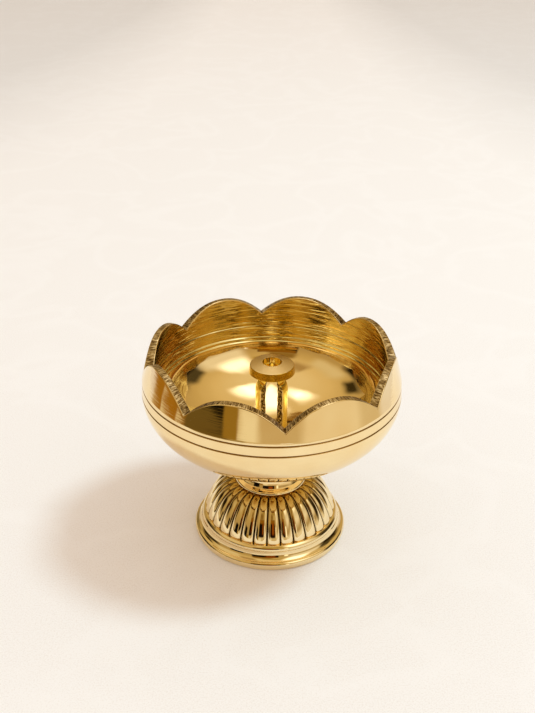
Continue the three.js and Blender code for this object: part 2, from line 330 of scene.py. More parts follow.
def smoothed(piece, degrees):
    """Keeps edges sharper than that; elsewhere large faces rule the shading of the small ones beside them."""
    piece.data.set_sharp_from_angle(angle=math.radians(degrees))
    weighting = piece.modifiers.new("weighted_normals", "WEIGHTED_NORMAL")
    weighting.keep_sharp = True
    settled(piece)


def quarter(radius, depth, centre, start, end, steps, fullness=2.0):
    """Section points of a quarter superellipse: 0 degrees is at its widest, 90 at its bottom.

    With a depth below 0 it stands upside down, and 90 is at its top.
    """
    angles = [math.radians(start + (end - start) * i / steps) for i in range(steps + 1)]
    power = 2 / fullness
    return [(radius * abs(math.cos(a)) ** power, centre - depth * math.sin(a) ** power, 0) for a in angles]


BOWL_RADIUS = 50.3
BOWL_DEPTH = 28.28
BOWL_FULLNESS = 2.13
SEAT_RADIUS = 13.2
BOWL_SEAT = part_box("bowl")[0].z / MM
SEAT_SHARE = SEAT_RADIUS / BOWL_RADIUS
BOWL_WIDEST = BOWL_SEAT + BOWL_DEPTH * (1 - SEAT_SHARE**BOWL_FULLNESS) ** (1 / BOWL_FULLNESS)
GROOVES = (BOWL_WIDEST - 0.4, BOWL_WIDEST + 3.6)
CREASE_HEIGHT = BOWL_WIDEST + 5
CREASE_RADIUS = BOWL_RADIUS - 0.4
CREASE_WALL = 4.3
WALL_RADIUS = CREASE_RADIUS - CREASE_WALL
RIDGES_END = CREASE_HEIGHT - 9.4
BAND_LEAN = 0.26
INNER_LEAN = 0.13
PETAL_FOOT = 3.3
PETAL_RISE = 8.6
PETAL_TIP = CREASE_HEIGHT + PETAL_FOOT + PETAL_RISE
RIM_OUTSIDE = CREASE_RADIUS - BAND_LEAN * (PETAL_TIP - CREASE_HEIGHT)
RIM_INSIDE = WALL_RADIUS - INNER_LEAN * (PETAL_TIP - CREASE_HEIGHT)
FLOOR_HEIGHT = BOWL_SEAT + 3.5
BOLT_BORE = 2.8


def bowl_outline():
    seat_angle = math.degrees(math.acos(SEAT_SHARE ** (BOWL_FULLNESS / 2)))
    dish_radius, dish_top, floor_radius = BOWL_RADIUS - 5.8, BOWL_WIDEST - 2, 8.6
    dish_depth = (dish_top - FLOOR_HEIGHT) / math.sqrt(1 - (floor_radius / dish_radius) ** 2)
    floor_angle = math.degrees(math.acos(floor_radius / dish_radius))
    half_groove, groove_depth = 0.36, 0.55
    outline = [(BOLT_BORE, BOWL_SEAT, 0)]
    outline += quarter(BOWL_RADIUS, BOWL_DEPTH, BOWL_WIDEST, seat_angle, 4, 42, BOWL_FULLNESS)
    for skin, groove in zip((BOWL_RADIUS - 0.03, BOWL_RADIUS - 0.3), GROOVES):
        outline += [
            (skin, groove - half_groove, 0.06),
            (skin - groove_depth, groove, 0.1),
            (skin, groove + half_groove, 0.06),
        ]
    outline += [
        (CREASE_RADIUS, CREASE_HEIGHT, 0.6),
        (RIM_OUTSIDE, PETAL_TIP, 0.36),
        (RIM_INSIDE, PETAL_TIP + 0.3, 0.55),
        (WALL_RADIUS, CREASE_HEIGHT, 0.8),
        (WALL_RADIUS - 0.05, CREASE_HEIGHT - 2.05, 0.15),
        (WALL_RADIUS - 0.35, CREASE_HEIGHT - 2.4, 0.2),
        (WALL_RADIUS - 0.15, CREASE_HEIGHT - 2.7, 0.15),
        (WALL_RADIUS - 0.4, CREASE_HEIGHT - 7.2, 0.2),
        (WALL_RADIUS - 0.85, CREASE_HEIGHT - 7.55, 0.15),
        (WALL_RADIUS - 0.95, CREASE_HEIGHT - 8.8, 0.2),
        (WALL_RADIUS - 1.4, CREASE_HEIGHT - 9.15, 0.15),
    ]
    outline += quarter(dish_radius, dish_depth, dish_top, 7, floor_angle, 44)
    outline.append((BOLT_BORE, FLOOR_HEIGHT, 0.15))
    return divided(rounded(outline, 4), 1.5)


# How far a point is from the axis, and how far across its petal or rib: 0 on the crest and 1 in the valley.
AROUND = [
    ("x squared", "MULTIPLY", "x", "x"),
    ("y squared", "MULTIPLY", "y", "y"),
    ("squares", "ADD", "x squared", "y squared"),
    ("radius", "SQRT", "squares"),
    ("bearing", "ARCTAN2", "y", "x"),
    ("angle", "SUBTRACT", "bearing", "Turn"),
    ("turns", "MULTIPLY", "angle", 1 / (2 * math.pi)),
    ("counted", "MULTIPLY", "turns", "Count"),
    ("share", "FRACT", "counted"),
    ("both ways", "MULTIPLY_ADD", "share", 2.0, -1.0),
    ("across", "ABSOLUTE", "both ways"),
]


def shaping_tree(name, sizes, steps):
    """A geometry node tree with named sizes that moves a turned piece's points, and its inputs' identifiers.

    A step names a number, its operation and what goes in, by name or as a number. Among them are "pull",
    the share of its x and y by which a point moves away from the axis, and "fall", its way down.
    """
    tree = bpy.data.node_groups.new(name, "GeometryNodeTree")
    kinds = {"Geometry": "NodeSocketGeometry", "Material": "NodeSocketMaterial"}
    identifiers = {}
    for label in ("Geometry", *sizes, "Material"):
        kind = kinds.get(label, "NodeSocketFloat")
        identifiers[label] = tree.interface.new_socket(label, in_out="INPUT", socket_type=kind).identifier
    tree.interface.new_socket("Geometry", in_out="OUTPUT", socket_type=kinds["Geometry"])
    given = add(tree, "NodeGroupInput").outputs
    place = add(tree, "GeometryNodeInputPosition")
    parts = add(tree, "ShaderNodeSeparateXYZ", inputs=(place,)).outputs
    numbers = {"x": parts["X"], "y": parts["Y"], "z": parts["Z"], **{label: given[label] for label in sizes}}
    ending = [("move x", "MULTIPLY", "x", "pull"), ("move y", "MULTIPLY", "y", "pull")]
    ending.append(("move z", "MULTIPLY", "fall", -1.0))
    for label, operation, *sources in AROUND + steps + ending:
        operands = [numbers[source] if isinstance(source, str) else source for source in sources]
        numbers[label] = add(tree, "ShaderNodeMath", {"operation": operation}, operands)
    moves = [numbers[label] for label in ("move x", "move y", "move z")]
    offset = add(tree, "ShaderNodeCombineXYZ", inputs=moves)
    moved = add(tree, "GeometryNodeSetPosition", inputs={"Geometry": given["Geometry"], "Offset": offset})
    real = add(tree, "GeometryNodeRealizeInstances", inputs=(moved,))
    dressed = add(tree, "GeometryNodeSetMaterial", inputs={0: real, "Material": given["Material"]})
    add(tree, "NodeGroupOutput", inputs=(dressed,))
    return tree, identifiers


def shaped(piece, name, sizes, steps, material):
    """Runs such a tree on a piece and keeps the result as its plain mesh."""
    tree, identifiers = shaping_tree(name, sizes, steps)
    modifier = piece.modifiers.new(name, "NODES")
    modifier.node_group = tree
    for label, value in {**sizes, "Material": material}.items():
        modifier[identifiers[label]] = value
    settled(piece)


PETALS = {
    "Count": 8.0,
    "Turn": math.radians(5.56 - 90),
    "Rise": PETAL_RISE * MM,
    "Roundness": 2.18,
    "Crease height": CREASE_HEIGHT * MM,
    "Tip height": PETAL_TIP * MM,
    "Rim depth": 1.2 * MM,
    "Lean": BAND_LEAN,
    "Inner lean": INNER_LEAN,
    "Crease radius": (CREASE_RADIUS - CREASE_WALL / 2) * MM,
}

# The band's edge is lowered between the tips: each petal is an arch, and meets its neighbour in a valley.
# What goes down also goes outwards along the wall's lean, which is less on the inside than on the outside.
PETAL_EDGE = [
    ("arch", "POWER", "across", "Roundness"),
    ("drop", "MULTIPLY", "Rise", "arch"),
    ("above", "SUBTRACT", "z", "Crease height"),
    ("band", "SUBTRACT", "Tip height", "Crease height"),
    ("under the rim", "SUBTRACT", "band", "Rim depth"),
    ("reach", "DIVIDE", "above", "under the rim"),
    ("not below", "MAXIMUM", "reach", 0.0),
    ("weight", "MINIMUM", "not below", 1.0),
    ("fall", "MULTIPLY", "drop", "weight"),
    ("leaning in", "MULTIPLY", "above", "Lean"),
    ("middle", "SUBTRACT", "Crease radius", "leaning in"),
    ("inside", "LESS_THAN", "radius", "middle"),
    ("less lean", "SUBTRACT", "Lean", "Inner lean"),
    ("thinner", "MULTIPLY", "inside", "less lean"),
    ("lean here", "SUBTRACT", "Lean", "thinner"),
    ("outward", "MULTIPLY", "fall", "lean here"),
    ("pull", "DIVIDE", "outward", "radius"),
]


def metal(name, colour, roughness):
    """A metal of one colour, its node tree and its shader."""
    material = bpy.data.materials.new(name)
    material.use_nodes = True
    shader = material.node_tree.nodes["Principled BSDF"]
    shader.inputs["Base Color"].default_value = linear(colour)
    shader.inputs["Metallic"].default_value = 1
    shader.inputs["Roughness"].default_value = roughness
    return material, material.node_tree, shader


# Cast brass, turned and buffed on a mop: a pale gold mirror, whose reflections faint lathe rings fray.
# The rings are 0.67 mm apart, coarser than real ones so that they show, and the mop's soft waves 11 mm long.
def buffed_brass():
    material, tree, shader = metal("cast_brass_turned_and_buffed", "#F9E2B0", 0.04)
    place = add(tree, "ShaderNodeTexCoord").outputs["Object"]
    ringed = {"Vector": place, "Scale": (0.07 / MM, 0.07 / MM, 1.5 / MM)}
    stretched = add(tree, "ShaderNodeMapping", inputs=ringed)
    rings = add(tree, "ShaderNodeTexNoise", inputs={"Vector": stretched, "Scale": 1, "Detail": 3})
    waves = add(tree, "ShaderNodeTexNoise", inputs={"Vector": place, "Scale": 0.09 / MM, "Detail": 1})
    cut = add(tree, "ShaderNodeBump", inputs={"Strength": 0.3, "Distance": 0.05 * MM, "Height": rings})
    waved = {"Strength": 0.3, "Distance": 0.5 * MM, "Height": waves, "Normal": cut}
    bump = add(tree, "ShaderNodeBump", inputs=waved)
    tree.links.new(bump.outputs[0], shader.inputs["Normal"])
    tone = add(tree, "ShaderNodeValToRGB", inputs=(waves,), stops=((0.3, "#F6DCA6"), (0.7, "#FAE4B2")))
    tree.links.new(tone.outputs[0], shader.inputs["Base Color"])
    return material


# The same brass inside the dish, where the mop ran round and round: its lights draw out towards the middle.
# The mop's waves are 9 mm long here.
def spun_brass():
    material, tree, shader = metal("cast_brass_buffed_round", "#F9E2B0", 0.055)
    place = add(tree, "ShaderNodeTexCoord").outputs["Object"]
    waves = add(tree, "ShaderNodeTexNoise", inputs={"Vector": place, "Scale": 0.11 / MM, "Detail": 1})
    bump = add(tree, "ShaderNodeBump", inputs={"Strength": 0.3, "Distance": 0.4 * MM, "Height": waves})
    tree.links.new(bump.outputs[0], shader.inputs["Normal"])
    tangent = add(tree, "ShaderNodeTangent", {"direction_type": "RADIAL", "axis": "Z"})
    tree.links.new(tangent.outputs[0], shader.inputs["Tangent"])
    shader.inputs["Anisotropic"].default_value = 0.4
    return material


# Cast brass with coarse turning marks left in: long rings that pull each reflection out sideways.
# The broad marks are 1.25 mm apart and the fine ones 0.5 mm, both coarser than real ones so that they show.
def lathe_marked_brass():
    material, tree, shader = metal("cast_brass_with_turning_marks", "#F1E2A6", 0.06)
    place = add(tree, "ShaderNodeTexCoord").outputs["Object"]
    coarse = {"Vector": place, "Scale": (0.075 / MM, 0.075 / MM, 0.8 / MM)}
    broad = add(tree, "ShaderNodeMapping", inputs=coarse)
    marks = add(tree, "ShaderNodeTexNoise", inputs={"Vector": broad, "Scale": 1, "Detail": 1})
    close = {"Vector": place, "Scale": (0.11 / MM, 0.11 / MM, 1.9 / MM)}
    fine = add(tree, "ShaderNodeMapping", inputs=close)
    rings = add(tree, "ShaderNodeTexNoise", inputs={"Vector": fine, "Scale": 1, "Detail": 2})
    cut = add(tree, "ShaderNodeBump", inputs={"Strength": 1.0, "Distance": 0.4 * MM, "Height": marks})
    ringed = {"Strength": 1.0, "Distance": 0.05 * MM, "Height": rings, "Normal": cut}
    bump = add(tree, "ShaderNodeBump", inputs=ringed)
    tree.links.new(bump.outputs[0], shader.inputs["Normal"])
    return material


# Cast brass, sawn and filed across the edge: dull grey-brown metal with short cuts from wall to wall, painted
# pale on their crests as painted highlights and dark in their bottoms as painted shade.
# The cuts are 0.43 mm apart along the edge, at some 48 mm from the axis, and up to 2.4 mm long across it.
def filed_brass():
    material, tree, shader = metal("cast_brass_filed", "#A48A5C", 0.34)
    place = add(tree, "ShaderNodeTexCoord").outputs["Object"]
    parts = add(tree, "ShaderNodeSeparateXYZ", inputs=(place,)).outputs
    angle = add(tree, "ShaderNodeMath", {"operation": "ARCTAN2"}, (parts["Y"], parts["X"]))
    along = add(tree, "ShaderNodeMath", {"operation": "MULTIPLY"}, (angle, 48 * MM))
    flat = add(tree, "ShaderNodeCombineXYZ", inputs=(parts["X"], parts["Y"]))
    radius = add(tree, "ShaderNodeVectorMath", {"operation": "LENGTH"}, (flat,)).outputs["Value"]
    strip = add(tree, "ShaderNodeCombineXYZ", inputs=(along, radius, parts["Z"]))
    crosswise = {"Vector": strip, "Scale": (2.3 / MM, 0.42 / MM, 0.9 / MM)}
    stretched = add(tree, "ShaderNodeMapping", inputs=crosswise)
    cuts = add(tree, "ShaderNodeTexNoise", inputs={"Vector": stretched, "Scale": 1, "Detail": 3})
    # painted highlight and painted shade: pale where the file cuts stand up, dark where they sink.
    shade_and_glint_tones = ((0.36, "#5A462A"), (0.5, "#A48A5C"), (0.64, "#E9D8B2"))
    tone = add(tree, "ShaderNodeValToRGB", inputs=(cuts,), stops=shade_and_glint_tones)
    tree.links.new(tone.outputs[0], shader.inputs["Base Color"])
    bump = add(tree, "ShaderNodeBump", inputs={"Strength": 0.8, "Distance": 0.12 * MM, "Height": cuts})
    tree.links.new(bump.outputs[0], shader.inputs["Normal"])
    return material


# Brass in the bottoms of the two grooves, coloured darker brown and dull.
def groove_bottom_brass():
    return metal("cast_brass_groove_bottoms", "#B48C48", 0.34)[0]


def make_bowl():
    outline = bowl_outline()
    rows = len(outline)
    columns = round(PETALS["Count"]) * 48
    bowl = turned("lotus_bowl", outline, columns, PETALS["Turn"])
    shaped(bowl, "petal_edge", PETALS, PETAL_EDGE, buffed_brass())
    mesh = bowl.data
    for material in (lathe_marked_brass(), filed_brass(), spun_brass(), groove_bottom_brass()):
        mesh.materials.append(material)
    # Each row of faces gets the number of its material: 0 is the buffed brass, and 1 to 4 are those above.
    kinds = []
    top_row = max(range(rows), key=lambda row: outline[row][1])
    for row in range(rows):
        start, end = outline[row], outline[(row + 1) % rows]
        radius, height = (start[0] + end[0]) / 2, (start[1] + end[1]) / 2
        on_rim = height > PETAL_TIP - 0.1 and RIM_INSIDE + 0.35 < radius < RIM_OUTSIDE - 0.24
        on_wall = RIDGES_END < height < PETAL_TIP - 0.5 and 40 < radius < WALL_RADIUS + 0.1
        in_dish = row > top_row and height < RIDGES_END
        in_groove = radius > BOWL_RADIUS - 1 and min(abs(height - groove) for groove in GROOVES) < 0.22
        kinds.append(2 if on_rim else 1 if on_wall else 3 if in_dish else 4 if in_groove else 0)
    mesh.polygons.foreach_set("material_index", kinds * columns)
    smoothed(bowl, 32)
    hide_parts("bowl")
    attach(bowl, "lamp_body")


make_bowl()


# Foot
# A hollow brass casting turned on its rim with a roll, a hollow moulding and a bead.
# Above them thirty cast ribs, finger-tip round at their lower ends, run up under the neck collar, which the
# nut and the stud pull down on its crown.
FOOT_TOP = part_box("foot")[1].z / MM
CROWN_FOOT = 9.1
CROWN_RADIUS = 26.7
CROWN_TOP_RADIUS = 14.4
CROWN_REACH = CROWN_RADIUS - CROWN_TOP_RADIUS
FLUTES = {
    "Count": 30.0,
    "Turn": math.radians(-2.5 - 90),
    "Low height": CROWN_FOOT * MM,
    "Span": (FOOT_TOP - CROWN_FOOT) * MM,
    "Top radius": CROWN_TOP_RADIUS * MM,
    "Neck radius": 13.9 * MM,
    "Reach": CROWN_REACH * MM,
    "Fullness": 1.25,
    "Depth": 1.35 * MM,
    "Top depth": 1.1 * MM,
    "Finger tip": 0.6 * MM,
    "Squareness": 2.6,
    "Roundness": 0.5,
}


def foot_outline():
    outline = [
        (27.5, 0, 0.2),
        (30.5, 0, 0.5),
        (31.1, 1.5, 0.8),
        (31.05, 2.7, 0.5),
        (30.5, 3.35, 0.3),
        (29.7, 3.5, 0.25),
        (28.65, 4.3, 0.7),
        (28.0, 5.5, 0.8),
        (27.85, 6.8, 0.1),
        (28.15, 7.2, 0.3),
        (27.95, 8.3, 0.5),
        (CROWN_RADIUS + 0.35, CROWN_FOOT, 0.25),
    ]
    rows, crown_wall, hollow_floor = 46, 3, 8.5
    for step in range(rows + 1):
        bend = math.radians(90 * step / rows)
        crest = CROWN_TOP_RADIUS + CROWN_REACH * math.cos(bend)
        share = math.sin(bend) ** (2 / FLUTES["Fullness"])
        outline.append((crest, CROWN_FOOT + (FOOT_TOP - CROWN_FOOT) * share, 0))
    outline += [(radius, FOOT_TOP, 0) for radius in (14.2, 13.7, BOLT_BORE)]
    outline.append((BOLT_BORE, FOOT_TOP - crown_wall, 0.1))
    hollow = quarter(16.75, crown_wall - FOOT_TOP, 0, 90, 15, 20)
    outline += [(hollow_floor + radius, height, 0) for radius, height, _ in hollow]
    return divided(rounded(outline, 4), 1.4)


# The valleys between the ribs are sunk into the turned crown, square to its surface.
# Each rib is round across, and ends in a finger tip at the crown's foot.
FLUTED_CROWN = [
    ("over the foot", "SUBTRACT", "z", "Low height"),
    ("above", "MAXIMUM", "over the foot", 0.0),
    ("up", "DIVIDE", "above", "Span"),
    ("past the top", "SUBTRACT", "radius", "Top radius"),
    ("share out", "DIVIDE", "past the top", "Reach"),
    ("out", "MAXIMUM", "share out", 0.0),
    ("up curve", "POWER", "up", "Fullness"),
    ("out curve", "MULTIPLY", "out", "out"),
    ("curve", "ADD", "up curve", "out curve"),
    ("beyond", "GREATER_THAN", "radius", "Neck radius"),
    ("near", "COMPARE", "curve", 1.0, 0.002),
    ("on the crown", "MULTIPLY", "near", "beyond"),
    ("twice out", "MULTIPLY", "out", 2.0),
    ("steep", "DIVIDE", "twice out", "Reach"),
    ("power", "SUBTRACT", "Fullness", 1.0),
    ("up slope", "POWER", "up", "power"),
    ("full slope", "MULTIPLY", "up slope", "Fullness"),
    ("flat", "DIVIDE", "full slope", "Span"),
    ("steep squared", "MULTIPLY", "steep", "steep"),
    ("flat squared", "MULTIPLY", "flat", "flat"),
    ("slopes", "ADD", "steep squared", "flat squared"),
    ("length", "SQRT", "slopes"),
    ("past the tip", "DIVIDE", "above", "Finger tip"),
    ("before the tip", "SUBTRACT", 1.0, "past the tip"),
    ("tip", "MAXIMUM", "before the tip", 0.0),
    ("side", "POWER", "across", "Squareness"),
    ("end", "MULTIPLY", "tip", "tip"),
    ("edge", "ADD", "side", "end"),
    ("within", "SUBTRACT", 1.0, "edge"),
    ("on the rib", "MAXIMUM", "within", 0.0),
    ("rib", "POWER", "on the rib", "Roundness"),
    ("depth lost", "SUBTRACT", "Depth", "Top depth"),
    ("shallower", "MULTIPLY", "up", "depth lost"),
    ("depth here", "SUBTRACT", "Depth", "shallower"),
    ("valley", "SUBTRACT", 1.0, "rib"),
    ("valley depth", "MULTIPLY", "depth here", "valley"),
    ("sink", "MULTIPLY", "valley depth", "on the crown"),
    ("sink inward", "MULTIPLY", "sink", "steep"),
    ("inward", "DIVIDE", "sink inward", "length"),
    ("outward", "MULTIPLY", "inward", -1.0),
    ("pull", "DIVIDE", "outward", "radius"),
    ("sink down", "MULTIPLY", "sink", "flat"),
    ("fall", "DIVIDE", "sink down", "length"),
]


# Cast brass buffed on its ribs: a gold mirror on every crest, with painted shade, dark brown, down in the
# valleys.
# The mop's waves are 6 mm long. Under the collar the brass is painted darker: painted shade cast by the bowl
# above.
def ribbed_brass():
    material, tree, shader = metal("cast_brass_ribs_buffed", "#F8E4B4", 0.04)
    place = add(tree, "ShaderNodeTexCoord").outputs["Object"]
    parts = add(tree, "ShaderNodeSeparateXYZ", inputs=(place,)).outputs
    across = add(tree, "ShaderNodeMath", {"operation": "ARCTAN2"}, (parts["Y"], parts["X"]))
    for operation, *operands in (
        ("SUBTRACT", FLUTES["Turn"]),
        ("MULTIPLY", FLUTES["Count"] / (2 * math.pi)),
        ("FRACT",),
        ("MULTIPLY_ADD", 2.0, -1.0),
        ("ABSOLUTE",),
    ):
        across = add(tree, "ShaderNodeMath", {"operation": operation}, (across, *operands))
    lowest = (CROWN_FOOT + 0.02) * MM
    crown = add(tree, "ShaderNodeMath", {"operation": "GREATER_THAN"}, (parts["Z"], lowest))
    valley = add(tree, "ShaderNodeMath", {"operation": "MULTIPLY"}, (across, crown))
    # painted shade: the colour runs to dark brown towards the bottom of each valley.
    tone = add(tree, "ShaderNodeValToRGB", inputs=(valley,), stops=((0.8, "#F8E4B4"), (0.97, "#4A340E")))
    # painted shade: the ribs turn darker from 18 mm up to 24 mm, in the bowl's shade.
    up = add(tree, "ShaderNodeMapRange", inputs=(parts["Z"], 18 * MM, 24 * MM))
    darker = {"data_type": "RGBA", "blend_type": "MULTIPLY"}
    painted_shade_under_bowl = add(tree, "ShaderNodeMix", darker, {0: up, 6: tone, 7: linear("#B8A048")})
    tree.links.new(painted_shade_under_bowl.outputs[2], shader.inputs["Base Color"])
    waves = add(tree, "ShaderNodeTexNoise", inputs={"Vector": place, "Scale": 0.16 / MM, "Detail": 1})
    bump = add(tree, "ShaderNodeBump", inputs={"Strength": 0.3, "Distance": 0.3 * MM, "Height": waves})
    tree.links.new(bump.outputs[0], shader.inputs["Normal"])
    return material


def make_foot():
    foot = turned("fluted_foot", foot_outline(), round(FLUTES["Count"]) * 20, FLUTES["Turn"])
    shaped(foot, "foot_flutes", FLUTES, FLUTED_CROWN, ribbed_brass())
    smoothed(foot, 40)
    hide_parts("foot")
    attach(foot, "lamp_body")


make_foot()


# Neck collar
# A spool turned in brass and buffed: a bead and a lip at its foot, a short straight neck, a waist higher up,
# and a flare that carries the bowl. It stands loose on the foot, and the stud's pull holds it there.
def collar_outline():
    low = FOOT_TOP
    return [
        (BOLT_BORE, low, 0),
        (13.7, low, 0.2),
        (14.5, low + 0.75, 0.5),
        (14.2, low + 1.5, 0.3),
        (13.3, low + 1.8, 0.2),
        (12.3, low + 2.1, 0.3),
        (11.75, low + 3.3, 0.5),
        (11.45, low + 4.3, 0.5),
        (11.25, low + 5.6, 0.6),
        (11.0, low + 7.2, 1.2),
        (9.4, low + 9.2, 1.6),
        (9.7, low + 12.2, 2.0),
        (11.8, BOWL_SEAT - 1.2, 0.6),
        (12.6, BOWL_SEAT, 0),
        (BOLT_BORE, BOWL_SEAT, 0),
    ]


def make_collar():
    collar = turned("neck_spool", divided(rounded(collar_outline(), 8), 0.6), 192)
    collar.data.materials.append(buffed_brass())
    smoothed(collar, 40)
    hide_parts("neck_collar")
    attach(collar, "lamp_body")


make_collar()


# Wick stem
# A brass tube, round-shouldered at the top, with two tall windows sawn through its casting.
# It screws on the stud by the hub in its base and stands on a thin flange, with a rubber washer under it.
SEAL_TOP = FLOOR_HEIGHT + 0.8
FLANGE_RADIUS = 7.5
HUB_TOP = SEAL_TOP + 3.6
SHOULDER = SEAL_TOP + 29
SPIGOT_TOP = SHOULDER + 1.7


# Turned brass with only its lathe lines left in, so that highlights smear a little round the tube.
# The lines are 0.24 mm apart.
def satin_brass():
    material, tree, shader = metal("brass_turned_satin", "#F4DA70", 0.2)
    place = add(tree, "ShaderNodeTexCoord").outputs["Object"]
    lined = {"Vector": place, "Scale": (0.06 / MM, 0.06 / MM, 4.2 / MM)}
    stretched = add(tree, "ShaderNodeMapping", inputs=lined)
    lines = add(tree, "ShaderNodeTexNoise", inputs={"Vector": stretched, "Scale": 1, "Detail": 2})
    bump = add(tree, "ShaderNodeBump", inputs={"Strength": 0.35, "Distance": 0.05 * MM, "Height": lines})
    tree.links.new(bump.outputs[0], shader.inputs["Normal"])
    return material


# Brass as it came from the saw and the sand: pitted, with crumbs of some 0.7 mm on a brown ground, painted
# bright on the crumbs as painted glints and dark in the pits as painted shade.
def rough_cut_brass():
    material, tree, shader = metal("cast_brass_rough_cut", "#A08850", 0.26)
    place = add(tree, "ShaderNodeTexCoord").outputs["Object"]
    pits = add(tree, "ShaderNodeTexNoise", inputs={"Vector": place, "Scale": 1.5 / MM, "Detail": 4})
    # painted glints and painted shade: bright on the raised crumbs, dark down in the pits.
    shade_and_glint_tones = ((0.4, "#4A3812"), (0.52, "#A08850"), (0.62, "#F4E6BE"))
    tone = add(tree, "ShaderNodeValToRGB", inputs=(pits,), stops=shade_and_glint_tones)
    tree.links.new(tone.outputs[0], shader.inputs["Base Color"])
    bump = add(tree, "ShaderNodeBump", inputs={"Strength": 1.0, "Distance": 0.4 * MM, "Height": pits})
    tree.links.new(bump.outputs[0], shader.inputs["Normal"])
    return material


# The same brass on the sawn corners, painted pale and bright: a painted highlight for the glint along the
# corners.
def glinting_corner_brass():
    return metal("brass_painted_glint_corners", "#FFF0C8", 0.2)[0]


def stem_outline():
    spigot, bore, dome_foot = 4.6, 3.45, SHOULDER - 7.9
    dome = quarter(1.75, -4, dome_foot, 0, 90, 12)
    return [
        (BOLT_BORE, SEAL_TOP, 0),
        (FLANGE_RADIUS, SEAL_TOP, 0.15),
        (FLANGE_RADIUS, SEAL_TOP + 1.5, 0.35),
        (6.35, SEAL_TOP + 1.5, 0.3),
        *[(spigot + radius, height, 0) for radius, height, _ in dome],
        (spigot, SPIGOT_TOP, 0.15),
        (bore, SPIGOT_TOP, 0.15),
        (bore, HUB_TOP, 0.3),
        (BOLT_BORE, HUB_TOP, 0.2),
    ]


def window_cutter(turn, seed):
    """A wedge between two radial planes with an arched head, pitted like a casting and flared at the skin."""
    half, arch_foot, arch, skin, flared = math.tan(math.radians(43)), SHOULDER - 9, 8.2, 6.05, 0.5
    straight, side, head, sill = arch_foot - HUB_TOP, 28, 36, 10
    rim = [(-half, HUB_TOP + straight * i / side) for i in range(side)]
    bends = [math.pi * i / head for i in range(head + 1)]
    rim += [(-half * math.cos(bend), arch_foot + arch * math.sin(bend)) for bend in bends]
    rim += [(half, arch_foot - straight * i / side) for i in range(1, side + 1)]
    rim += [(half - 2 * half * i / sill, HUB_TOP) for i in range(1, sill)]
    chance = np.random.default_rng(seed)
    layers, inner_end, outer_end, pit_depth = 13, 2.6, 14, 0.16
    radii = [*np.linspace(inner_end, skin, layers), skin + flared, outer_end]
    count = len(rim)
    rough = chance.normal(0, 1, (len(radii), count))
    rough = (rough + np.roll(rough, 1, 1) + np.roll(rough, -1, 1)) / 2
    vertices = []
    for row, radius in enumerate(radii):
        flare = min(radius, skin + flared) - min(radius, skin)
        for index, (across, height) in enumerate(rim):
            pit = pit_depth * rough[min(row, layers - 1), index] * min(radius, skin) / skin
            above = height > HUB_TOP + 0.1
            angle = math.atan(across) - math.pi / 2 + (pit + flare) * above * across / half / radius + turn
            rise = above * (0.5 * pit + flare * max(0, (height - arch_foot) / arch))
            x, y = radius * math.cos(angle), radius * math.sin(angle)
            vertices.append((x * MM, y * MM, (height + rise) * MM))
    quads = [
        (start + i, start + (i + 1) % count, start + count + (i + 1) % count, start + count + i)
        for start in range(0, (len(radii) - 1) * count, count)
        for i in range(count)
    ]
    ends = [tuple(reversed(range(count))), tuple(range((len(radii) - 1) * count, len(radii) * count))]
    mesh = bpy.data.meshes.new("window_cutter")
    mesh.from_pydata(vertices, [], quads + ends)
    # the cutter's row at the outer skin gives the window's corners the painted-highlight brass.
    pitted, glint_row = [0] * (layers - 1) * count, [1] * count
    mesh.polygons.foreach_set("material_index", pitted + glint_row + [0] * (count + len(ends)))
    shell = bmesh.new()
    shell.from_mesh(mesh)
    bmesh.ops.recalc_face_normals(shell, faces=shell.faces)
    shell.to_mesh(mesh)
    shell.free()
    cutter = bpy.data.objects.new("window_cutter", mesh)
    bpy.context.collection.objects.link(cutter)
    return cutter


def make_stem():
    stem = turned("slotted_stem", divided(rounded(stem_outline(), 5), 0.9), 144)
    stem.data.materials.append(satin_brass())
    sawn = (rough_cut_brass(), glinting_corner_brass())
    for turn, seed in ((0, 3), (math.pi, 8)):
        cutter = window_cutter(turn, seed)
        for material in sawn:
            cutter.data.materials.append(material)
        cut = stem.modifiers.new("window", "BOOLEAN")
        cut.object = cutter
        cut.operation = "DIFFERENCE"
        cut.solver = "EXACT"
        cut.material_mode = "TRANSFER"
        settled(stem)
        bpy.data.objects.remove(cutter)
    smoothed(stem, 35)
    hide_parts("wick_stem")
    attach(stem, "wick_holder")


make_stem()


# Wick disc
# A turned brass washer with a slightly coned top, pressed on the stem's spigot, with a hole for a wick.
# Its top is faced on the lathe, and a burr is broken out of the hole's right edge.
DISC_HOLE = 3.75


# Brass faced on the lathe: fine rings round the hole, 0.19 mm apart, draw its lights out across them.
def faced_brass():
    material, tree, shader = metal("brass_lathe_faced", "#E4CA96", 0.3)
    place = add(tree, "ShaderNodeTexCoord").outputs["Object"]
    parts = add(tree, "ShaderNodeSeparateXYZ", inputs=(place,)).outputs
    flat = add(tree, "ShaderNodeCombineXYZ", inputs=(parts["X"], parts["Y"]))
    radius = add(tree, "ShaderNodeVectorMath", {"operation": "LENGTH"}, (flat,)).outputs["Value"]
    rings = add(tree, "ShaderNodeCombineXYZ", inputs=(radius, 0.0, parts["Z"]))
    lines = add(tree, "ShaderNodeTexNoise", inputs={"Vector": rings, "Scale": 5.2 / MM, "Detail": 2})
    bump = add(tree, "ShaderNodeBump", inputs={"Strength": 0.4, "Distance": 0.03 * MM, "Height": lines})
    tree.links.new(bump.outputs[0], shader.inputs["Normal"])
    tangent = add(tree, "ShaderNodeTangent", {"direction_type": "RADIAL", "axis": "Z"})
    tree.links.new(tangent.outputs[0], shader.inputs["Tangent"])
    shader.inputs["Anisotropic"].default_value = 0.75
    return material


# The disc's side: turned brass, painted a darker amber as a painted reflection of the dark gold dish wall
# that it mirrors.
def amber_brass():
    return metal("brass_turned_amber", "#D7B33E", 0.24)[0]


